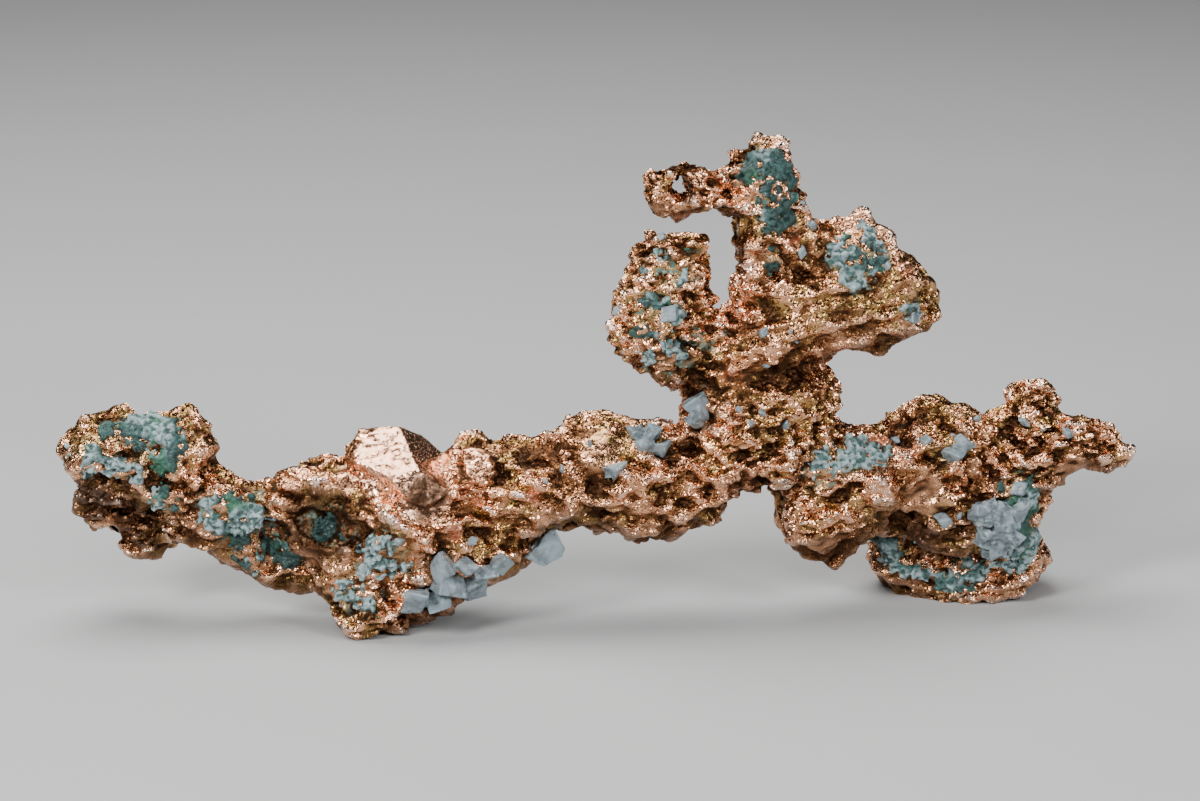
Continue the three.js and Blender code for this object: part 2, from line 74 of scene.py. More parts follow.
class NuggetCopperSettings(bpy.types.PropertyGroup):
    """Sizes and colours of the copper."""

    grid: FloatProperty(
        name="Grid", description="Step of the grid that the copper is redrawn on",
        default=0.205 * MM, unit="LENGTH",
    )
    knob: FloatProperty(
        name="Knob", description="Size of the broad folds", default=2.9 * MM, unit="LENGTH",
    )
    knob_depth: FloatProperty(
        name="Knob depth", description="Height of the broad folds",
        default=0.85 * MM, unit="LENGTH",
    )
    crumple: FloatProperty(
        name="Crumple", description="Size of the folds of the crumpled copper",
        default=1.2 * MM, unit="LENGTH",
    )
    crumple_depth: FloatProperty(
        name="Crumple depth", description="Height of the folds of the crumpled copper",
        default=0.78 * MM, unit="LENGTH",
    )
    hackle: FloatProperty(
        name="Hackle", description="Size of the finest folds that have a shape of their own",
        default=0.52 * MM, unit="LENGTH",
    )
    hackle_depth: FloatProperty(
        name="Hackle depth", description="Height of the finest folds",
        default=0.4 * MM, unit="LENGTH",
    )
    grain: FloatProperty(
        name="Grain", description="Size of the facets that only catch the light",
        default=0.3 * MM, unit="LENGTH",
    )
    # The colours of the ridges and of the metal between them are partly the copper's own tarnish
    # and partly painted light: lighter on the ridges and darker between them, as light and shade
    # fall on the folds.
    fresh_and_lit: FloatVectorProperty(
        name="Fresh copper", description="Colour of the bright ridges", subtype="COLOR",
        default=(0.94, 0.49, 0.28), min=0, max=1,
    )
    # Painted highlight: a near-white pink laid on the tops of the folds, where they would catch the
    # light.
    painted_glint: FloatVectorProperty(
        name="Glint", description="Colour of the rubbed edges of the folds", subtype="COLOR",
        default=(1.0, 0.71, 0.55), min=0, max=1,
    )
    aged_and_shaded: FloatVectorProperty(
        name="Aged copper", description="Colour of the metal between the ridges", subtype="COLOR",
        default=(0.27, 0.11, 0.043), min=0, max=1,
    )
    # Painted shade: a near-black laid in the deepest hollows, in the shaded spots, on the big
    # crystal's faces turned from the light and on the undersides.
    hollow_shade: FloatVectorProperty(
        name="Hollows", description="Colour of the metal deep in the hollows", subtype="COLOR",
        default=(0.045, 0.019, 0.009), min=0, max=1,
    )
    golden: FloatVectorProperty(
        name="Golden tarnish", description="Colour of the golden patches", subtype="COLOR",
        default=(0.50, 0.31, 0.10), min=0, max=1,
    )
    patina: FloatVectorProperty(
        name="Patina", description="Colour of the stain around a crust", subtype="COLOR",
        default=(0.10, 0.19, 0.15), min=0, max=1,
    )
    cuprite: FloatVectorProperty(
        name="Red oxide", description="Colour of the red-brown patches", subtype="COLOR",
        default=(0.42, 0.12, 0.05), min=0, max=1,
    )


class NuggetGrowthSettings(bpy.types.PropertyGroup):
    """Sizes and colours of the crusts and the crystals."""

    crust_height: FloatProperty(
        name="Crust height", description="How far a crust stands out of the copper",
        default=0.42 * MM, unit="LENGTH",
    )
    crust_grain: FloatProperty(
        name="Crust grain", description="Size of one grain of a crust",
        default=0.55 * MM, unit="LENGTH",
    )
    crust_pale: FloatVectorProperty(
        name="Pale crust", description="Colour of the crust's pale grains", subtype="COLOR",
        default=(0.34, 0.43, 0.44), min=0, max=1,
    )
    crust_teal: FloatVectorProperty(
        name="Teal crust", description="Colour of the crust between its grains", subtype="COLOR",
        default=(0.04, 0.11, 0.10), min=0, max=1,
    )
    crust_dark: FloatVectorProperty(
        name="Dark crust", description="Colour of the crust's darkest spots", subtype="COLOR",
        default=(0.008, 0.03, 0.026), min=0, max=1,
    )
    crust_green: FloatVectorProperty(
        name="Green crust", description="Colour of the crust's green spots", subtype="COLOR",
        default=(0.03, 0.14, 0.07), min=0, max=1,
    )
    calcite: FloatVectorProperty(
        name="Calcite", description="Colour of the crystals", subtype="COLOR",
        default=(0.37, 0.46, 0.50), min=0, max=1,
    )
    crystal_grid: FloatProperty(
        name="Crystal grid", description="Step of the grid that a crystal is redrawn on",
        default=0.12 * MM, unit="LENGTH",
    )


class NuggetStageSettings(bpy.types.PropertyGroup):
    """The floor, the lights and the camera."""

    floor: FloatVectorProperty(
        name="Floor", description="Colour of the floor", subtype="COLOR",
        default=(0.45, 0.45, 0.445), min=0, max=1,
    )
    distance: FloatProperty(
        name="Distance", description="How far the camera stands from the nugget",
        default=0.4, unit="LENGTH",
    )
    elevation: FloatProperty(
        name="Elevation", description="How far above the floor's level the camera looks from",
        default=math.radians(15), subtype="ANGLE",
    )
    lens: FloatProperty(name="Lens", description="Focal length in millimetres", default=120)
    aim: FloatVectorProperty(
        name="Aim", description="Point that the camera looks at", subtype="TRANSLATION",
        default=(0.4 * MM, -3.1 * MM, 22.5 * MM),
    )


# ---- uneven fields --------------------
# Each field takes points in millimetres, as an array with a row a point.


def scramble(cells, salt):
    """A repeatable number between 0 and 1 for each row of whole numbers."""
    mixed = (
        cells[..., 0].astype(np.int64) * 73856093
        ^ cells[..., 1].astype(np.int64) * 19349663
        ^ cells[..., 2].astype(np.int64) * 83492791
        ^ salt * 2654435761
    )
    mixed = (mixed ^ (mixed >> 13)) * 1274126177 & 0x7FFFFFFF
    mixed = (mixed ^ (mixed >> 15)) * 2246822519 & 0x7FFFFFFF
    return ((mixed >> 7) & 0xFFFFF) / 0xFFFFF


def waves(points, span, salt=0):
    """A smooth field between -1 and 1 that changes over about the given span."""
    scaled = points / span
    whole = np.floor(scaled)
    part = scaled - whole
    part = part * part * (3 - 2 * part)
    total = np.zeros(len(points))
    for corner in np.ndindex(2, 2, 2):
        corner = np.array(corner)
        weight = np.prod(np.where(corner, part, 1 - part), axis=1)
        total += weight * scramble(whole + corner, salt)
    return total * 2 - 1


def nearest_cells(points, span, salt=0):
    """Each point's offset from the nearest of some scattered seeds, and that seed's own key."""
    scaled = points / span
    whole = np.floor(scaled)
    nearest = np.full(len(points), np.inf)
    offset = np.zeros_like(points)
    key = np.zeros_like(points)
    for step in np.ndindex(3, 3, 3):
        cell = whole + np.array(step) - 1
        seed = cell + np.stack([scramble(cell, salt + axis) for axis in range(3)], axis=1)
        away = scaled - seed
        distance = np.linalg.norm(away, axis=1)
        closer = distance < nearest
        nearest = np.where(closer, distance, nearest)
        offset[closer] = away[closer]
        key[closer] = cell[closer]
    return offset * span, key


def facets(points, span, salt=0):
    """Flat facets, each tilted its own way: a height as a part of the span."""
    offset, key = nearest_cells(points, span, salt)
    tilt = np.stack([scramble(key, salt + 10 + axis) for axis in range(3)], axis=1) * 2 - 1
    lift = scramble(key, salt + 20) - 0.5
    return np.einsum("ij,ij->i", tilt, offset) / span + lift * 0.35


def folds(points, span, salt=0):
    """Flat triangles that meet at sharp creases, as in crumpled foil: a height from -1 to 1."""
    scaled = points / span
    whole = np.floor(scaled)
    part = scaled - whole
    order = np.argsort(-part, axis=1)
    parts = np.take_along_axis(part, order, axis=1)
    corner = whole
    weights = (1 - parts[:, 0], parts[:, 0] - parts[:, 1], parts[:, 1] - parts[:, 2], parts[:, 2])
    total = weights[0] * scramble(corner, salt)
    for step, weight in enumerate(weights[1:]):
        corner = corner + np.eye(3)[order[:, step]]
        total += weight * scramble(corner, salt)
    return total * 2 - 1


def turned(points, degrees, stretch=(1, 1, 1)):
    """The points turned about two axes and stretched, so that a field's grid doesn't show."""
    angle = math.radians(degrees)
    cos, sin = math.cos(angle), math.sin(angle)
    about_y = np.array([[cos, 0, sin], [0, 1, 0], [-sin, 0, cos]])
    about_x = np.array([[1, 0, 0], [0, cos, -sin], [0, sin, cos]])
    return (points * np.array(stretch)) @ about_y @ about_x


def ramp(values, low, high):
    """0 below low, 1 above high and a smooth rise between."""
    part = np.clip((values - low) / (high - low), 0, 1)
    return part * part * (3 - 2 * part)


# ---- mesh helpers --------------------


def points_of(mesh):
    """The mesh's points in millimetres, as an array with a row a point."""
    points = np.empty(len(mesh.vertices) * 3)
    mesh.vertices.foreach_get("co", points)
    return points.reshape(-1, 3) / MM


def normals_of(mesh):
    """The direction out of the surface at each point."""
    normals = np.empty(len(mesh.vertices) * 3)
    mesh.vertices.foreach_get("normal", normals)
    return normals.reshape(-1, 3)


def move_points(mesh, points):
    """Puts the mesh's points in the given places, in millimetres."""
    mesh.vertices.foreach_set("co", (points * MM).ravel())
    mesh.update()


def above_floor(points):
    """The points with none of them lower than just above the floor."""
    return np.maximum(points, (-np.inf, -np.inf, FLOOR_GAP))


def shade_smooth(mesh):
    """Hides the edges between the mesh's faces."""
    for polygon in mesh.polygons:
        polygon.use_smooth = True


def new_piece(name, mesh):
    """An object with the given mesh, in the scene."""
    piece = bpy.data.objects.new(name, mesh)
    bpy.context.scene.collection.objects.link(piece)
    return piece


def made_mesh(work, name):
    """A new mesh of what was worked on."""
    mesh = bpy.data.meshes.new(name)
    work.to_mesh(mesh)
    work.free()
    return mesh


def applied(piece, *modifiers):
    """The piece with the given modifiers, each a kind and its settings, worked into its mesh."""
    for kind, values in modifiers:
        modifier = piece.modifiers.new(kind.title(), kind)
        for key, value in values.items():
            setattr(modifier, key, value)
    depsgraph = bpy.context.evaluated_depsgraph_get()
    mesh = bpy.data.meshes.new_from_object(piece.evaluated_get(depsgraph))
    old = piece.data
    piece.modifiers.clear()
    piece.data = mesh
    bpy.data.meshes.remove(old)
    return piece


def joined_nodes(nodes, name):
    """One mesh of the given nodes' solids."""
    work = bmesh.new()
    for node in nodes:
        work.from_mesh(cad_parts[node].data)
    bmesh.ops.remove_doubles(work, verts=work.verts, dist=1e-3 * MM)
    return made_mesh(work, name)


def tree_of(mesh):
    """The mesh's surface, ready to be searched for the spot nearest to a point."""
    work = bmesh.new()
    work.from_mesh(mesh)
    tree = BVHTree.FromBMesh(work)
    work.free()
    return tree


def distances_to(tree, points, reach):
    """The distance in millimetres from each point to a surface, no more than the reach."""
    found = np.full(len(points), float(reach))
    for index, point in enumerate(points):
        distance = tree.find_nearest(Vector(point * MM), reach * MM)[3]
        if distance is not None:
            found[index] = distance / MM
    return found


def store(mesh, name, values):
    """Keeps a number for each point of the mesh, for its material to read."""
    attribute = mesh.attributes.get(name) or mesh.attributes.new(name, "FLOAT", "POINT")
    attribute.data.foreach_set("value", np.asarray(values, dtype=np.float32))


def in_box(node, across, deep, up):
    """A point given by its parts of a node's box, from its least corner, in millimetres."""
    low, high = (np.array(corner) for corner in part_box(node))
    return (low + (high - low) * np.array((across, deep, up))) / MM


def nodes_named(start):
    """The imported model's nodes whose names start with the given word, in order."""
    return sorted(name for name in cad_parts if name.startswith(start))


def finish_piece(piece, material, nodes):
    """Ties a piece to its body and to its finish, and hides the nodes that it stands for."""
    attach(piece, "root")
    if nodes:
        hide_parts(*nodes)
    piece.data.materials.clear()
    piece.data.materials.append(material)


# ---- the crumpled copper --------------------

# Half the gap that the solids leave at a fork, and how far from its middle the cut reaches.
FORK_HALF_GAP = 0.15 * MM
FORK_REACH = 11 * MM

# How far from a crust or a crystal the copper is looked at, how far outside its box, and how
# much nearer a crystal has to be than a crust to calm the copper, in millimetres.
GROWTH_REACH = 3.0
GROWTH_MARGIN = 2.5
CRYSTAL_LEAD = 0.9

# What the copper leaves for the crusts and the crystals to grow on.
kept = {}

# Spots are given as a node, the parts of its box, and a radius in millimetres. Pits and swells
# have a depth or a height after that, in millimetres.

CRYSTAL_SPOTS = (
    ("copper_left_limb", 0.505, 0.40, 0.78, 4.6),
    ("copper_left_limb", 0.545, 0.40, 0.80, 4.0),
    ("copper_left_limb", 0.552, 0.08, 0.68, 3.4),
)
CALM_SPOTS = (
    ("copper_left_limb", 0.64, 0.25, 0.78, 2.0),
    ("copper_left_limb", 0.82, 0.25, 0.86, 2.6),
    ("copper_left_limb", 0.44, 0.30, 0.72, 1.8),
    ("copper_right_limb", 0.45, 0.20, 0.56, 2.4),
    ("copper_right_limb", 0.16, 0.10, 0.34, 1.6),
    ("copper_right_limb", 0.86, 0.30, 0.62, 2.0),
)
RIDGED_SPOTS = (
    ("copper_tower", 0.78, 0.20, 0.52, 7.0),
    ("copper_tower", 0.45, 0.20, 0.42, 5.5),
    ("copper_right_limb", 0.18, 0.20, 0.40, 4.5),
)
HACKLY_SPOTS = (
    ("copper_tower", 0.45, 0.20, 0.20, 6.0),
    ("copper_tower", 0.45, 0.20, 0.86, 3.5),
    ("copper_slit_lobe", 0.50, 0.20, 0.50, 9.0),
    ("copper_left_limb", 0.12, 0.20, 0.60, 8.0),
    ("copper_left_limb", 0.47, 0.10, 0.15, 5.0),
    ("copper_right_limb", 0.60, 0.20, 0.10, 8.0),
    ("copper_right_limb", 0.76, 0.20, 0.84, 3.5),
)
RED_SPOTS = (
    ("copper_tower", 0.32, 0.10, 0.40, 2.0),
    ("copper_tower", 0.90, 0.20, 0.68, 1.9),
    ("copper_tower", 0.50, 0.15, 0.76, 1.6),
    ("copper_tower", 0.84, 0.15, 0.42, 1.8),
    ("copper_right_limb", 0.30, 0.10, 0.78, 2.4),
    ("copper_right_limb", 0.74, 0.10, 0.72, 1.6),
    ("copper_right_limb", 0.84, 0.15, 0.66, 1.4),
    ("copper_left_limb", 0.625, 0.20, 0.66, 1.5),
    ("copper_left_limb", 0.60, 0.10, 0.50, 1.1),
    ("copper_left_limb", 0.72, 0.10, 0.66, 1.2),
    ("copper_slit_lobe", 0.85, 0.10, 0.42, 1.0),
)
# Spots that are darkened with painted shade, among them the big crystal's lower face and the pits.
SHADED_SPOTS = (
    ("copper_left_limb", 0.560, 0.08, 0.66, 2.6),
    ("copper_left_limb", 0.40, 0.05, 0.52, 4.6),
    ("copper_left_limb", 0.047, 0.50, 0.56, 3.2),
    ("copper_left_limb", 0.12, 0.50, 0.46, 3.4),
    ("copper_right_limb", 0.42, 0.10, 0.30, 3.6),
    ("copper_tower", 0.15, 0.10, 0.875, 1.3),
)
PITS = (
    ("copper_tower", 0.137, 0.10, 0.885, 1.3, 2.6),
    ("copper_tower", 0.44, 0.05, 0.665, 1.2, 1.6),
    ("copper_left_limb", 0.405, 0.05, 0.50, 1.7, 1.6),
    ("copper_right_limb", 0.435, 0.05, 0.52, 0.5, 0.8),
    ("copper_right_limb", 0.665, 0.05, 0.72, 0.8, 1.0),
)
SWELLS = (
    ("copper_tower", 0.11, 0.43, 0.82, 1.9, 1.0),
    ("copper_tower", 0.325, 0.30, 0.61, 2.2, 0.5),
    ("copper_slit_lobe", 0.90, 0.50, 0.95, 1.6, 0.9),
    ("copper_slit_lobe", 0.18, 0.50, 0.92, 1.5, 0.6),
    ("copper_slit_lobe", 0.97, 0.50, 0.66, 2.2, 0.6),
)


def near_spots(points, spots):
    """How deep each point lies in the nearest of the spots: 1 in the middle, 0 outside."""
    found = np.zeros(len(points))
    for node, across, deep, up, radius in spots:
        away = points - in_box(node, across, deep, up)
        away[:, 1] *= 0.5
        found = np.maximum(found, 1 - ramp(np.linalg.norm(away, axis=1) / radius, 0.6, 1.15))
    return found


def bulges(points, spots):
    """How far each point is moved by spots that give a height after their radius."""
    total = np.zeros(len(points))
    for node, across, deep, up, radius, height in spots:
        away = points - in_box(node, across, deep, up)
        away[:, 1] *= 0.3
        total += height * (1 - ramp(np.linalg.norm(away, axis=1) / radius, 0.3, 1.1))
    return total


def growth_distances(points):
    """How far each point is from the nearest crust or crystal, in millimetres, up to the reach."""
    nearest = np.full(len(points), GROWTH_REACH)
    for node in nodes_named("crust") + nodes_named("calcite"):
        low, high = (np.array(corner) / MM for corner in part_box(node))
        near = np.all((points > low - GROWTH_MARGIN) & (points < high + GROWTH_MARGIN), axis=1)
        index = np.nonzero(near)[0]
        found = distances_to(tree_of(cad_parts[node].data), points[index], GROWTH_REACH)
        if node.startswith("calcite"):
            found = found + CRYSTAL_LEAD
        nearest[index] = np.minimum(nearest[index], found)
    return nearest


def crystal_faces(mesh, points):
    """Lays the points of the big copper crystal back on the crystal's own flat faces."""
    flat = near_spots(points, CRYSTAL_SPOTS)
    tree = tree_of(joined_nodes(COPPER_NODES, "copper_solid"))
    for index in np.nonzero(flat)[0]:
        spot = tree.find_nearest(Vector(points[index] * MM))[0]
        points[index] += (np.array(spot) / MM - points[index]) * flat[index]
    move_points(mesh, points)
    return flat


def coarse_folds(points, settings):
    """The broad and the middle folds, each from -1 to 1, in layers where the copper is ridged."""
    ridged = near_spots(points, RIDGED_SPOTS)
    bent = points + 0.35 * np.stack([waves(points, 1.6, salt) for salt in (31, 32, 33)], axis=1)
    layered = turned(bent, 12, (0.4, 0.8, 1.3))
    broad = (1 - ridged) * folds(turned(bent, 33), settings.knob / MM, 1)
    broad += ridged * folds(layered, 0.8 * settings.knob / MM, 4)
    middle = (1 - 0.85 * ridged) * folds(turned(bent, 71), settings.crumple / MM, 2)
    middle += 0.85 * ridged * folds(layered, 0.9 * settings.crumple / MM, 5)
    return broad, middle


def crumple(mesh, settings):
    """Crumples the copper, coarse folds first, and stores what its finish needs."""
    points = points_of(mesh)
    flat = crystal_faces(mesh, points)
    facing = normals_of(mesh)
    # Painted shade and painted dark reflection: how far the copper faces down, and how far the big
    # crystal's faces turn from the light.
    under = ramp(-facing[:, 2], 0.0, 0.8)
    turned_away = flat * ramp(facing[:, 0] - facing[:, 2] - 0.4 * facing[:, 1], 0.35, 0.75)
    growth = growth_distances(points)
    grown = 1 - ramp(growth, 0.3, 1.7)
    under_growth = 1 - ramp(growth, 0.5, 1.4)
    calm = np.maximum(flat, near_spots(points, CALM_SPOTS))
    hackly = 1 - ramp(waves(points, 9.0, 7), -0.5, 0.1) * (1 - near_spots(points, HACKLY_SPOTS))
    loose = (1 - 0.7 * calm) * (1 - 0.97 * flat) * (1 - 0.75 * under_growth)
    broad, middle = coarse_folds(points, settings)
    height = (settings.knob_depth * broad + settings.crumple_depth * middle) / MM * loose
    height += bulges(points, SWELLS) - 0.2 * under_growth
    move_points(mesh, points + normals_of(mesh) * height[:, None])
    points = points_of(mesh)
    hackle = folds(turned(points, 50), settings.hackle / MM, 3) * (0.4 + 0.6 * hackly)
    fine = hackle * settings.hackle_depth / MM * (1 - 0.85 * calm) * (1 - 0.5 * under_growth)
    points = above_floor(points + normals_of(mesh) * (fine - bulges(points, PITS))[:, None])
    move_points(mesh, points)
    # The folds' relief, stored as depth: the finish paints light on the ridges and shade in the
    # hollows from it, and lays the golden tarnish and the patina by it too.
    relief = ((0.18 * broad + 0.5 * middle) * loose + 0.5 * hackle) * (1 - 0.85 * flat)
    store(mesh, "depth", np.clip(0.5 + 0.75 * relief + 0.3 * flat, 0, 1))
    store(mesh, "smooth", np.maximum(calm, flat))
    store(mesh, "red", near_spots(points, RED_SPOTS))
    # Painted shade, stored as dark: the shaded spots, the crystal's faces turned from the light and
    # the undersides.
    shade = np.maximum(near_spots(points, SHADED_SPOTS), 0.9 * turned_away)
    store(mesh, "dark", np.maximum(shade, 0.75 * under))
    store(mesh, "stain", grown)


def fork_planes():
    """A point in the middle of each fork's cut and the cut's direction, from the solids' faces."""
    tower = tree_of(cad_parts["copper_tower"].data)
    planes = []
    for limb in ("copper_left_limb", "copper_right_limb", "copper_slit_lobe"):
        middle, way, area = Vector(), None, 0.0
        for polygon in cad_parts[limb].data.polygons:
            # A cut's faces don't lean forward or back, and look at the tower across a thin gap.
            normal = polygon.normal
            hit = tower.ray_cast(polygon.center + normal * 0.02 * MM, normal, 0.5 * MM)
            if hit[0] is None or abs(normal.y) > 0.02 or hit[1].dot(normal) > -0.99:
                continue
            middle += polygon.center * polygon.area
            area += polygon.area
            way = normal.copy()
        if way is None:
            raise RuntimeError(f"no cut was found on {limb}")
        planes.append((middle / area + way * FORK_HALF_GAP, way))
    return planes


def parted(work, planes):
    """Cuts the mesh through at each plane, near its middle only, and caps both sides."""
    for middle, way in planes:
        faces = [
            face for face in work.faces
            if (face.calc_center_median() - middle).length < FORK_REACH
        ]
        edges = {edge for face in faces for edge in face.edges}
        verts = {vert for face in faces for vert in face.verts}
        cut = bmesh.ops.bisect_plane(
            work, geom=[*verts, *edges, *faces], dist=1e-4 * MM, plane_co=middle, plane_no=way,
        )["geom_cut"]
        loop = [item for item in cut if isinstance(item, bmesh.types.BMEdge)]
        bmesh.ops.split_edges(work, edges=loop)
        rim = [edge for edge in work.edges if edge.is_boundary]
        caps = bmesh.ops.holes_fill(work, edges=rim, sides=0)["faces"]
        for edge in rim:
            edge.smooth = False
        bmesh.ops.triangulate(work, faces=caps)


def islands_of(work):
    """The separate bodies of a mesh, as lists of faces."""
    seen = set()
    islands = []
    for first in work.faces:
        if first in seen:
            continue
        seen.add(first)
        island, waiting = [], [first]
        while waiting:
            face = waiting.pop()
            island.append(face)
            for edge in face.edges:
                for other in edge.link_faces:
                    if other not in seen:
                        seen.add(other)
                        waiting.append(other)
        islands.append(island)
    return islands


def copper_base(settings):
    """The whole copper in one body on a fine grid, before it is crumpled."""
    swell = 0.15 * MM
    piece = new_piece("copper_base", joined_nodes(COPPER_NODES, "copper_base"))
    applied(
        piece,
        ("DISPLACE", {"strength": swell, "mid_level": 0.0}),
        ("REMESH", {"mode": "VOXEL", "voxel_size": settings.grid}),
        ("SMOOTH", {"factor": 0.5, "iterations": 10}),
        ("DISPLACE", {"strength": -swell * 0.9, "mid_level": 0.0}),
    )
    return piece


def keep_base(mesh):
    """Keeps the copper's even surface, which the crusts lie on, and a tree of it."""
    kept["base"] = mesh.copy()
    kept["tree"] = tree_of(mesh)


def keep_copper(mesh):
    """Keeps a tree of the crumpled copper, which the loose crystals sit on."""
    kept["copper"] = tree_of(mesh)


class NUGGET_OT_copper(bpy.types.Operator):
    """Make the crumpled copper, parted at its main forks"""

    bl_idname = "nugget.copper"
    bl_label = "Copper"

    def execute(self, context):
        settings = context.scene.nugget_copper
        base = copper_base(settings)
        keep_base(base.data)
        mesh = base.data
        crumple(mesh, settings)
        keep_copper(mesh)
        work = bmesh.new()
        work.from_mesh(mesh)
        for face in work.faces:
            face.smooth = False
        parted(work, fork_planes())
        islands = sorted(islands_of(work), key=len, reverse=True)[:len(COPPER_NODES)]
        material = copper_material(settings)
        left = list(COPPER_NODES)
        for island in islands:
            verts = {vert for face in island for vert in face.verts}
            middle = sum((vert.co for vert in verts), Vector()) / len(verts)
            node = min(left, key=lambda name: (sum(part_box(name), Vector()) / 2 - middle).length)
            left.remove(node)
            part = work.copy()
            chosen = {face.index for face in island}
            part.faces.ensure_lookup_table()
            lost = [face for face in part.faces if face.index not in chosen]
            bmesh.ops.delete(part, geom=lost, context="FACES")
            name = node.replace("copper_", "metal_")
            finish_piece(new_piece(name, made_mesh(part, name)), material, [node])
        work.free()
        bpy.data.objects.remove(base)
        return {"FINISHED"}


# ---- crusts --------------------

# How far around its solid a crust may grow and how deep its rim dives, in millimetres.
CRUST_REACH = 2.2
CRUST_RIM = -0.9
CRUST_THICKNESS = 0.5 * MM

# The part of its faces that a crust keeps, and the cover under which it is buried.
CRUST_KEPT = 0.6
BURIED = 0.02


def crust_patch(node):
    """The even copper under a crust and a little around it, and a tree of the crust's solid."""
    tree = tree_of(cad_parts[node].data)
    low, high = (np.array(corner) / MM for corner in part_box(node))
    work = bmesh.new()
    work.from_mesh(kept["base"])
    points = points_of(kept["base"])
    near = np.all((points > low - CRUST_REACH) & (points < high + CRUST_REACH), axis=1)
    index = np.nonzero(near)[0]
    away = np.full(len(points), CRUST_REACH)
    away[index] = distances_to(tree, points[index], CRUST_REACH)
    far = set(np.nonzero(away >= CRUST_REACH)[0])
    lost = [face for face in work.faces if any(vert.index in far for vert in face.verts)]
    bmesh.ops.delete(work, geom=lost, context="FACES")
    chosen = set(max(islands_of(work), key=len))
    lost = [face for face in work.faces if face not in chosen]
    bmesh.ops.delete(work, geom=lost, context="FACES")
    return made_mesh(work, node.replace("crust_", "growth_")), tree


# How pale and how green each crust is, from -1 to 1, and how far it spreads past its solid in
# millimetres.
CRUST_TONES = {
    "crust_left_end": (0.0, 0.3, 0.1),
    "crust_left_end_low": (0.5, -0.4, 0.0),
    "crust_left_end_tip": (0.6, 0.0, -0.2),
    "crust_left_end_middle": (-0.1, 0.5, -0.1),
    "crust_neck": (0.3, 0.1, 0.0),
    "crust_neck_top": (-0.5, 0.8, 0.0),
    "crust_neck_under": (-0.7, 0.4, 0.1),
    "crust_body_pocket": (-1.4, 0.0, -0.5),
    "crust_left_foot": (0.6, -0.5, 0.0),
    "crust_left_foot_low": (0.2, -0.5, -0.1),
    "crust_crown": (-0.45, 0.0, 0.1),
    "crust_crown_top": (-0.5, 0.0, 0.0),
    "crust_stem_pit": (-1.0, 0.9, -0.2),
    "crust_lobe_upper": (0.1, 0.3, -0.3),
    "crust_lobe_lower": (-0.1, 0.1, -0.1),
    "crust_lobe_base": (0.9, -0.9, 0.0),
    "crust_slit_foot": (-0.9, 0.9, -0.2),
    "crust_right_lobe": (0.4, -0.1, 0.0),
    "crust_right_lobe_tip": (0.3, -0.6, -0.1),
    "crust_right_arm": (0.6, 0.1, -0.1),
    "crust_right_arm_middle": (0.5, -0.5, 0.0),
    "crust_right_foot_band": (-0.1, -0.5, 0.1),
    "crust_right_foot_patch": (0.2, -0.5, 0.1),
    "crust_right_foot_side": (-0.1, 0.4, 0.3),
}


def drop_faces(mesh, buried):
    """Deletes the faces whose corners are all buried in the copper."""
    work = bmesh.new()
    work.from_mesh(mesh)
    lost = [face for face in work.faces if all(buried[vert.index] for vert in face.verts)]
    bmesh.ops.delete(work, geom=lost, context="FACES")
    work.to_mesh(mesh)
    work.free()


def grow_crust(node, settings):
    """A crust: velvety where it is dark, and grown over with blocky pale grains elsewhere."""
    mesh, tree = crust_patch(node)
    piece = new_piece(mesh.name, mesh)
    finer = {"subdivision_type": "CATMULL_CLARK", "levels": 1, "render_levels": 1}
    applied(piece, ("SUBSURF", finer))
    mesh = piece.data
    points, normals = points_of(mesh), normals_of(mesh)
    tone, green, spread = CRUST_TONES.get(node, (-0.3, 0.0, 0.0))
    away = distances_to(tree, points, CRUST_REACH)
    away = away + 0.6 * waves(points, 1.7, 41) + 0.45 * waves(points, 0.7, 42)
    away += 0.35 * waves(points, 0.35, 47)
    cover = 1 - ramp(away - spread, 0.2, 1.2)
    shade = waves(points, 2.3, 44) + 0.4 * waves(points, 0.8, 45) + tone
    pale = ramp(shade, -0.25, 0.35)
    grain = settings.crust_grain / MM
    velvet = folds(turned(points, 40), 0.3, 61)
    height = settings.crust_height / MM * (0.6 + 0.4 * waves(points, 1.2, 43))
    crystals = facets(turned(points, 18), grain, 51)
    crystals += 0.6 * folds(turned(points, 61), 0.8 * grain, 52)
    height += (0.3 + 0.7 * pale) * 0.32 * crystals + 0.12 * velvet
    height = CRUST_RIM + cover * (height - CRUST_RIM)
    points = points + normals * height[:, None]
    move_points(mesh, points)
    # The grains' heights: the pale colour keeps to their tops, and the gaps between them stay dark
    # as painted shade.
    store(mesh, "bead", np.clip(0.5 + 0.6 * crystals, 0, 1))
    store(mesh, "pale", pale)
    store(mesh, "dark", ramp(shade, 0.0, -0.9))
    store(mesh, "green", ramp(waves(points, 1.9, 46) + green, 0.1, 0.6))
    drop_faces(mesh, cover < BURIED)
    applied(
        piece,
        ("DECIMATE", {"ratio": CRUST_KEPT}),
        ("SOLIDIFY", {"thickness": CRUST_THICKNESS, "offset": -1.0}),
    )
    mesh = piece.data
    move_points(mesh, above_floor(points_of(mesh)))
    shade_smooth(mesh)
    return piece


class NUGGET_OT_crusts(bpy.types.Operator):
    """Grow each blue-green crust on the copper"""

    bl_idname = "nugget.crusts"
    bl_label = "Crusts"

    def execute(self, context):
        settings = context.scene.nugget_growth
        material = crust_material(settings)
        for node in nodes_named("crust"):
            finish_piece(grow_crust(node, settings), material, [node])
        return {"FINISHED"}


# ---- crystals --------------------

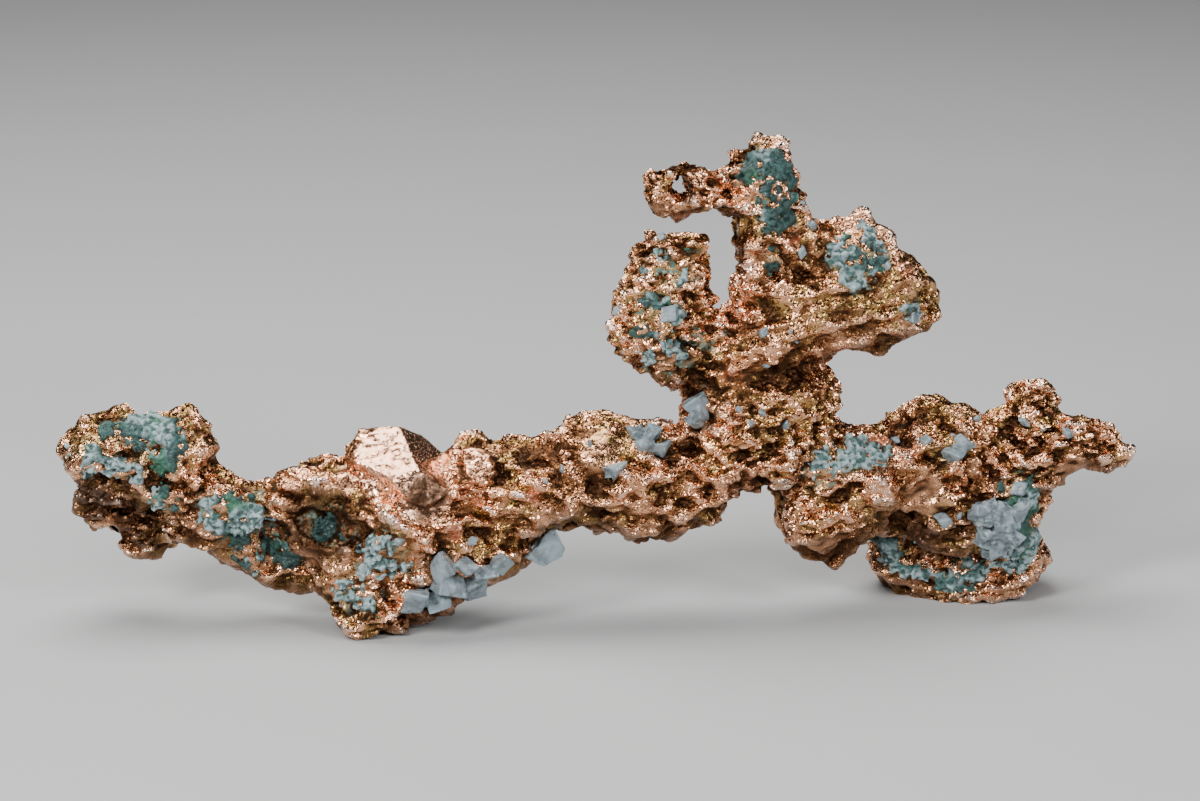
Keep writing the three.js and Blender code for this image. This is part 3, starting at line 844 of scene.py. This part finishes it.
# Loose crystals are given as a node, the parts of its box, and about half their width in
# millimetres.
BEADS = (
    ("copper_left_limb", 0.835, 0.229, 0.758, 0.6),
    ("copper_tower", 0.371, 0.066, 0.265, 0.45),
    ("copper_tower", 0.421, 0.114, 0.419, 0.38),
    ("copper_tower", 0.489, 0.110, 0.261, 0.4),
    ("copper_right_limb", 0.437, 0.173, 0.799, 0.6),
    ("copper_right_limb", 0.585, 0.340, 0.861, 0.4),
    ("copper_right_limb", 0.707, 0.291, 0.868, 0.5),
    ("copper_right_limb", 0.833, 0.299, 0.806, 0.5),
    ("copper_tower", 0.922, 0.380, 0.529, 0.7),
    ("copper_tower", 0.563, 0.376, 0.778, 0.55),
    ("copper_tower", 0.536, 0.354, 0.840, 0.35),
    ("copper_right_limb", 0.491, 0.137, 0.447, 0.75),
    ("copper_right_limb", 0.534, 0.137, 0.465, 0.35),
    ("copper_right_limb", 0.701, 0.286, 0.554, 0.85),
    ("copper_left_limb", 0.801, 0.322, 0.863, 0.35),
    ("copper_left_limb", 0.760, 0.236, 0.761, 0.35),
    ("copper_left_limb", 0.733, 0.214, 0.695, 0.3),
    ("copper_left_limb", 0.625, 0.132, 0.444, 0.5),
    ("copper_left_limb", 0.518, 0.002, 0.466, 0.5),
    ("copper_tower", 0.532, 0.284, 0.718, 0.55),
    ("copper_tower", 0.411, 0.153, 0.509, 0.5),
    ("copper_tower", 0.499, 0.149, 0.510, 0.3),
    ("copper_tower", 0.522, 0.167, 0.481, 0.3),
    ("copper_tower", 0.411, 0.079, 0.296, 0.4),
    ("copper_tower", 0.331, 0.062, 0.306, 0.35),
    ("copper_slit_lobe", 0.098, 0.245, 0.527, 0.5),
    ("copper_slit_lobe", 0.544, 0.026, 0.541, 0.95),
    ("copper_tower", 0.825, 0.354, 0.673, 0.4),
    ("copper_slit_lobe", 0.469, 0.437, 0.963, 0.5),
    ("copper_right_limb", 0.364, 0.247, 0.809, 0.4),
    ("copper_right_limb", 0.510, 0.214, 0.794, 0.35),
    ("copper_right_limb", 0.763, 0.286, 0.828, 0.3),
)

# Clusters that are made of many small crystals, with how many of their solid's faces there are
# to each crystal.
DRUSES = {"calcite_right_foot": 3}


def crystalline(piece, settings):
    """Redraws crystals on a fine grid, keeps their flat faces and gives them growth steps."""
    solid = tree_of(piece.data)
    applied(piece, ("REMESH", {"mode": "VOXEL", "voxel_size": settings.crystal_grid}))
    mesh = piece.data
    points = points_of(mesh)
    for index, point in enumerate(points):
        spot = solid.find_nearest(Vector(point * MM))[0]
        points[index] = np.array(spot) / MM
    move_points(mesh, points)
    applied(piece, ("SMOOTH", {"factor": 0.5, "iterations": 6}))
    mesh = piece.data
    points, normals = points_of(mesh), normals_of(mesh)
    steps = 0.07 * folds(turned(points, 25), 1.1, 71) + 0.035 * facets(points, 0.5, 72)
    move_points(mesh, points + normals * steps[:, None])
    return mesh


def block_corners(place, out, size, salt):
    """Corners of a small leaning block of calcite that is turned its own way."""
    keys = np.array([[salt, part, 0] for part in range(4)])
    turn, tip, roll, leaning = scramble(keys, 90)
    matrix = Vector(out).to_track_quat("Z", "Y").to_matrix()
    matrix = matrix @ Euler((tip, roll, turn * math.tau)).to_matrix()
    lean = 0.15 + 0.3 * leaning
    corners = []
    for corner in np.ndindex(2, 2, 2):
        x, y, z = (2 * part - 1 for part in corner)
        leant = Vector((x + lean * y, y + lean * z, z + lean * x))
        corners.append(Vector(place) + matrix @ leant * size)
    return corners


def add_block(work, place, out, size, salt):
    """Adds a small block of calcite to a mesh that is being made."""
    corners = [work.verts.new(spot) for spot in block_corners(place, out, size, salt)]
    bmesh.ops.convex_hull(work, input=corners)


def druse(mesh, step):
    """Grows small crystals all over a cluster's solid, one on every few of its faces."""
    work = bmesh.new()
    work.from_mesh(mesh)
    spots = [(face.calc_center_median(), face.normal.copy()) for face in work.faces]
    least, spread = 0.3, 0.3
    for salt, (place, out) in enumerate(spots[::step]):
        size = least + spread * float(scramble(np.array([salt, step, 0]), 91))
        add_block(work, place, out, size * MM, salt)
    work.to_mesh(mesh)
    work.free()


def grow_crystals(node, settings):
    """A cluster's crystals, with the side next to the copper sunk into it."""
    name = node.replace("calcite_", "crystal_")
    piece = new_piece(name, joined_nodes([node], name))
    if node in DRUSES:
        druse(piece.data, DRUSES[node])
    mesh = crystalline(piece, settings)
    points = points_of(mesh)
    near, push = 1.0, 1.3
    for index, point in enumerate(points):
        spot, out, _, distance = kept["tree"].find_nearest(Vector(point * MM), 2 * near * MM)
        if spot is not None and distance / MM < near:
            points[index] = point - np.array(out) * (near - distance / MM) * push
    move_points(mesh, above_floor(points))
    shade_smooth(mesh)
    return piece


def grow_beads(settings):
    """The small loose crystals that sit on the copper, as one mesh."""
    name = "crystal_beads"
    work = bmesh.new()
    for salt, (node, across, deep, up, size) in enumerate(BEADS):
        middle = Vector(in_box(node, across, deep, up) * MM)
        place, out = kept["copper"].find_nearest(middle)[:2]
        add_block(work, place, out, size * 0.8 * MM, salt)
    piece = new_piece(name, made_mesh(work, name))
    shade_smooth(crystalline(piece, settings))
    return piece


class NUGGET_OT_crystals(bpy.types.Operator):
    """Make the calcite crystals"""

    bl_idname = "nugget.crystals"
    bl_label = "Crystals"

    def execute(self, context):
        settings = context.scene.nugget_growth
        material = calcite_material(settings)
        for node in nodes_named("calcite"):
            finish_piece(grow_crystals(node, settings), material, [node])
        finish_piece(grow_beads(settings), material, [])
        return {"FINISHED"}


# ---- finishes --------------------


class Wiring:
    """Adds nodes to a node tree in one line each. A socket or a plain value can feed an input."""

    def __init__(self, tree):
        self.tree = tree

    def add(self, kind, inputs=(), **values):
        node = self.tree.nodes.new(kind)
        for key, value in values.items():
            setattr(node, key, value)
        for socket, value in dict(inputs).items():
            if isinstance(value, bpy.types.NodeSocket):
                self.tree.links.new(value, node.inputs[socket])
            else:
                node.inputs[socket].default_value = value
        return node

    def vector(self, operation, first, second):
        inputs = {0: first, 1: second}
        return self.add("ShaderNodeVectorMath", inputs, operation=operation).outputs

    def math(self, operation, first, second=0.0, clamp=False):
        return self.add(
            "ShaderNodeMath", {0: first, 1: second}, operation=operation, use_clamp=clamp,
        ).outputs[0]

    def times(self, first, second):
        return self.math("MULTIPLY", first, second)

    def mix(self, factor, first, second):
        node = self.add("ShaderNodeMix", {"Factor": factor}, data_type="RGBA")
        for socket, value in ((node.inputs[6], first), (node.inputs[7], second)):
            if isinstance(value, bpy.types.NodeSocket):
                self.tree.links.new(value, socket)
            else:
                socket.default_value = (*value, 1)
        return node.outputs[2]

    def noise(self, vector, scale, detail=2.0, roughness=0.5):
        inputs = {"Vector": vector, "Scale": scale, "Detail": detail, "Roughness": roughness}
        return self.add("ShaderNodeTexNoise", inputs).outputs["Fac"]

    def ramp(self, value, low, high, start=0.0, end=1.0):
        inputs = {"Value": value, "From Min": low, "From Max": high, "To Min": start, "To Max": end}
        return self.add("ShaderNodeMapRange", inputs, interpolation_type="SMOOTHSTEP").outputs[0]

    def stored(self, name):
        return self.add("ShaderNodeAttribute", attribute_name=name).outputs["Fac"]

    def place(self):
        return self.add("ShaderNodeTexCoord").outputs["Object"]


def new_group(name, inputs, outputs):
    """A node group with number sockets, its wiring, and its inner input and output."""
    tree = bpy.data.node_groups.new(name, "ShaderNodeTree")
    for socket, kind, value in inputs:
        made = tree.interface.new_socket(socket, in_out="INPUT", socket_type=kind)
        if value is not None:
            made.default_value = value
    for socket, kind in outputs:
        tree.interface.new_socket(socket, in_out="OUTPUT", socket_type=kind)
    wires = Wiring(tree)
    return wires, wires.add("NodeGroupInput").outputs, wires.add("NodeGroupOutput").inputs


def facet_group():
    """Flat facets that each tilt their own way: a height in metres for a bump."""
    known = bpy.data.node_groups.get("Facets")
    if known:
        return known
    wires, given, put = new_group(
        "Facets",
        [("Vector", "NodeSocketVector", None), ("Size", "NodeSocketFloat", 0.4 * MM),
         ("Bend", "NodeSocketFloat", 0.25)],
        [("Height", "NodeSocketFloat"), ("Key", "NodeSocketFloat")],
    )
    scale = wires.math("DIVIDE", 1.0, given["Size"])
    middle = (0.5, 0.5, 0.5)
    around = {"Vector": given["Vector"], "Scale": scale, "Detail": 1.0}
    bend = wires.add("ShaderNodeTexNoise", around).outputs["Color"]
    reach = wires.times(given["Bend"], given["Size"])
    centred = {0: wires.vector("SUBTRACT", bend, middle)[0], "Scale": reach}
    moved = wires.add("ShaderNodeVectorMath", centred, operation="SCALE").outputs[0]
    place = wires.vector("ADD", given["Vector"], moved)[0]
    cells = wires.add("ShaderNodeTexVoronoi", {"Vector": place, "Scale": scale})
    away = wires.vector("SUBTRACT", place, cells.outputs["Position"])[0]
    tilt = wires.vector("SUBTRACT", cells.outputs["Color"], middle)[0]
    height = wires.vector("DOT_PRODUCT", away, tilt)["Value"]
    wires.tree.links.new(height, put["Height"])
    key = wires.add("ShaderNodeSeparateColor", {"Color": cells.outputs["Color"]}).outputs[0]
    wires.tree.links.new(key, put["Key"])
    return wires.tree


def new_material(name):
    """A material that is one Principled shader, with its wiring and that shader."""
    material = bpy.data.materials.new(name)
    material.use_nodes = True
    material.node_tree.nodes.clear()
    wires = Wiring(material.node_tree)
    shader = wires.add("ShaderNodeBsdfPrincipled")
    output = wires.add("ShaderNodeOutputMaterial")
    wires.tree.links.new(shader.outputs[0], output.inputs["Surface"])
    return material, wires, shader


def feed(wires, shader, name, value):
    """Leads a socket into one of the shader's inputs."""
    wires.tree.links.new(value, shader.inputs[name])


def feed_bump(wires, shader, height, strength):
    """Tilts the shader's surface by a height in metres."""
    inputs = {"Height": height, "Strength": strength, "Distance": 1.0}
    feed(wires, shader, "Normal", wires.add("ShaderNodeBump", inputs).outputs[0])


def copper_material(settings):
    """Copper that is lighter on its ridges, partly from tarnish and partly as painted light, and
    golden, red or stained between them, with painted highlights on the fold tops and painted shade
    in the hollows, the shaded spots and the undersides.
    """
    material, wires, shader = new_material("Native copper")
    place = wires.place()
    depth = wires.stored("depth")
    smooth = wires.stored("smooth")
    coarse = wires.add("ShaderNodeGroup", node_tree=facet_group())
    fine = wires.add("ShaderNodeGroup", node_tree=facet_group())
    for group, size in ((coarse, settings.grain * 1.5), (fine, settings.grain * 0.6)):
        wires.tree.links.new(place, group.inputs["Vector"])
        group.inputs["Size"].default_value = size
        group.inputs["Bend"].default_value = 0.5
    blotch = wires.noise(place, 1 / (6 * MM), 3.0, 0.6)
    speck = wires.noise(place, 1 / (1.2 * MM), 3.0, 0.65)
    # Lighter on the ridges and darker between them: partly tarnish, partly painted light and shade
    # on the folds. Smooth spots and the crystal's faces get the lighter colour too.
    colour = wires.mix(wires.ramp(depth, 0.42, 0.68), settings.aged_and_shaded, settings.fresh_and_lit)
    # Painted highlight: the tops of the folds turn near-white pink, as though catching the light.
    colour = wires.mix(wires.ramp(depth, 0.68, 0.9), colour, settings.painted_glint)
    colour = wires.mix(wires.times(smooth, 0.6), colour, settings.fresh_and_lit)
    gold = wires.times(wires.ramp(blotch, 0.44, 0.6), wires.ramp(speck, 0.42, 0.58))
    gold = wires.times(gold, wires.ramp(depth, 0.9, 0.5))
    colour = wires.mix(wires.times(gold, 0.8), colour, settings.golden)
    red = wires.times(wires.stored("red"), wires.ramp(speck, 0.4, 0.56))
    rust = wires.times(wires.ramp(blotch, 0.42, 0.3), wires.ramp(speck, 0.5, 0.62))
    red = wires.math("MAXIMUM", red, wires.times(rust, 0.7))
    colour = wires.mix(wires.times(red, 0.85), colour, settings.cuprite)
    # Painted shade: the deepest hollows, the shaded spots, the crystal's faces turned from the
    # light and the undersides are darkened towards near-black.
    deep = wires.ramp(depth, 0.5, 0.28)
    shade = wires.times(wires.stored("dark"), wires.ramp(speck, 0.7, 0.4, 0.8, 1.0))
    deep = wires.math("MAXIMUM", deep, shade)
    colour = wires.mix(wires.times(deep, 0.96), colour, settings.hollow_shade)
    patina = wires.times(wires.stored("stain"), wires.ramp(speck, 0.5, 0.62))
    patina = wires.times(patina, wires.ramp(depth, 0.65, 0.35))
    colour = wires.mix(wires.times(patina, 0.9), colour, settings.patina)
    feed(wires, shader, "Base Color", colour)
    dull = wires.math("MAXIMUM", wires.times(red, 0.3), patina)
    feed(wires, shader, "Metallic", wires.ramp(dull, 0.0, 1.0, 1.0, 0.15))
    rough = wires.ramp(fine.outputs["Key"], 0.0, 1.0, 0.09, 0.26)
    rough = wires.math("ADD", rough, wires.times(deep, 0.2))
    rough = wires.math("ADD", rough, wires.times(dull, 0.4), clamp=True)
    feed(wires, shader, "Roughness", rough)
    rugged = wires.ramp(smooth, 0.0, 1.0, 1.0, 0.3)
    height = wires.times(coarse.outputs["Height"], 0.5)
    height = wires.math("ADD", height, wires.times(fine.outputs["Height"], 0.5))
    height = wires.times(height, rugged)
    feed_bump(wires, shader, height, 0.9)
    return material


def crust_material(settings):
    """A dark teal crust with green spots and pale grains on it."""
    material, wires, shader = new_material("Blue-green crust")
    place = wires.place()
    bead, pale, green, dark = (wires.stored(name) for name in ("bead", "pale", "green", "dark"))
    grains = wires.add("ShaderNodeGroup", {"Vector": place}, node_tree=facet_group())
    grains.inputs["Size"].default_value = 0.22 * MM
    speck = wires.noise(place, 1 / (0.6 * MM), 3.0, 0.7)
    cloud = wires.noise(place, 1 / (1.8 * MM), 3.0, 0.6)
    colour = wires.mix(wires.ramp(speck, 0.38, 0.62), settings.crust_dark, settings.crust_teal)
    green = wires.times(green, wires.ramp(cloud, 0.4, 0.6))
    colour = wires.mix(wires.times(green, 0.8), colour, settings.crust_green)
    colour = wires.mix(wires.times(dark, 0.8), colour, settings.crust_dark)
    # The pale colour keeps to the grains' tops: partly the grains' own colour, partly painted shade
    # in the gaps between them.
    grown = wires.times(pale, wires.ramp(bead, 0.3, 0.65, 0.1, 1.0))
    grown = wires.times(grown, wires.ramp(speck, 0.3, 0.6, 0.45, 1.0))
    colour = wires.mix(grown, colour, settings.crust_pale)
    feed(wires, shader, "Base Color", colour)
    feed(wires, shader, "Roughness", wires.ramp(grains.outputs["Key"], 0.0, 1.0, 0.3, 0.75))
    feed_bump(wires, shader, grains.outputs["Height"], 0.6)
    return material


def calcite_material(settings):
    """Cloudy pale blue-grey calcite that lets some light in."""
    material, wires, shader = new_material("Calcite")
    place = wires.place()
    cloud = wires.noise(place, 1 / (1.3 * MM), 3.0, 0.6)
    grains = wires.add("ShaderNodeGroup", {"Vector": place}, node_tree=facet_group())
    grains.inputs["Size"].default_value = 0.7 * MM
    dark = tuple(0.5 * part for part in settings.calcite)
    colour = wires.mix(wires.ramp(cloud, 0.3, 0.7), dark, settings.calcite)
    feed(wires, shader, "Base Color", colour)
    feed(wires, shader, "Roughness", wires.ramp(cloud, 0.3, 0.7, 0.2, 0.45))
    feed_bump(wires, shader, grains.outputs["Height"], 0.35)
    shader.inputs["IOR"].default_value = 1.6
    shader.inputs["Transmission Weight"].default_value = 0.35
    shader.inputs["Subsurface Weight"].default_value = 0.6
    shader.inputs["Subsurface Radius"].default_value = (1.0, 1.0, 1.0)
    shader.inputs["Subsurface Scale"].default_value = 0.8 * MM
    return material


# ---- the stage --------------------


def area_light(name, place, target, size, power, colour=(1, 1, 1)):
    """A rectangular light that faces its target, with its power in watts."""
    light = bpy.data.lights.new(name, "AREA")
    light.shape = "RECTANGLE"
    light.size, light.size_y = size
    light.energy = power
    light.color = colour
    holder = bpy.data.objects.new(name, light)
    holder.location = place
    holder.rotation_euler = (Vector(target) - Vector(place)).to_track_quat("-Z", "Y").to_euler()
    bpy.context.scene.collection.objects.link(holder)


class NUGGET_OT_stage(bpy.types.Operator):
    """Make the floor, the lights and the camera"""

    bl_idname = "nugget.stage"
    bl_label = "Stage"

    def execute(self, context):
        scene = context.scene
        settings = scene.nugget_stage
        aim = Vector(settings.aim)
        half = 4.0
        outline = ((-half, -half, 0), (half, -half, 0), (half, half, 0), (-half, half, 0))
        work = bmesh.new()
        work.faces.new([work.verts.new(corner) for corner in outline])
        floor = new_piece("floor", made_mesh(work, "floor"))
        material, wires, shader = new_material("Floor")
        cloth = wires.noise(wires.place(), 30.0, 2.0)
        shade = tuple(0.97 * part for part in settings.floor)
        feed(wires, shader, "Base Color", wires.mix(cloth, shade, settings.floor))
        shader.inputs["Roughness"].default_value = 0.9
        floor.data.materials.append(material)
        world = bpy.data.worlds.new("Studio")
        scene.world = world
        world.use_nodes = True
        world.node_tree.nodes["Background"].inputs["Color"].default_value = (0.62, 0.64, 0.68, 1)
        world.node_tree.nodes["Background"].inputs["Strength"].default_value = 0.035
        area_light("top", (-0.08, 0.08, 0.40), aim, (0.36, 0.26), 2.3)
        area_light("front left", (-0.24, -0.30, 0.26), aim, (0.12, 0.12), 2.1)
        area_light("front right", (0.30, -0.26, 0.18), aim, (0.10, 0.14), 1.0, (0.92, 0.96, 1.0))
        area_light("front", (0.02, -0.42, 0.26), aim, (0.24, 0.06), 0.7)
        back = Vector((0, -math.cos(settings.elevation), math.sin(settings.elevation)))
        camera = bpy.data.cameras.new("camera")
        camera.lens = settings.lens
        camera.sensor_width = 36
        camera.clip_start = 0.01
        holder = bpy.data.objects.new("camera", camera)
        holder.location = aim + back * settings.distance
        holder.rotation_euler = (-back).to_track_quat("-Z", "Y").to_euler()
        scene.collection.objects.link(holder)
        scene.camera = holder
        return {"FINISHED"}


class NUGGET_PT_panel(bpy.types.Panel):
    """The steps that make the nugget."""

    bl_label = "Nugget"
    bl_idname = "NUGGET_PT_panel"
    bl_space_type = "VIEW_3D"
    bl_region_type = "UI"
    bl_category = "Nugget"

    def draw(self, context):
        for name in STEPS:
            self.layout.operator(f"nugget.{name}")


SETTINGS = {
    "nugget_copper": NuggetCopperSettings,
    "nugget_growth": NuggetGrowthSettings,
    "nugget_stage": NuggetStageSettings,
}
STEPS = ("stage", "copper", "crusts", "crystals")
CLASSES = (
    *SETTINGS.values(),
    NUGGET_OT_stage,
    NUGGET_OT_copper,
    NUGGET_OT_crusts,
    NUGGET_OT_crystals,
    NUGGET_PT_panel,
)


def register():
    for kind in CLASSES:
        bpy.utils.register_class(kind)
    for name, kind in SETTINGS.items():
        setattr(bpy.types.Scene, name, PointerProperty(type=kind))


def unregister():
    for name in SETTINGS:
        delattr(bpy.types.Scene, name)
    for kind in reversed(CLASSES):
        bpy.utils.unregister_class(kind)


def main():
    register()
    for name in STEPS:
        getattr(bpy.ops.nugget, name)()


if __name__ == "__main__":
    main()
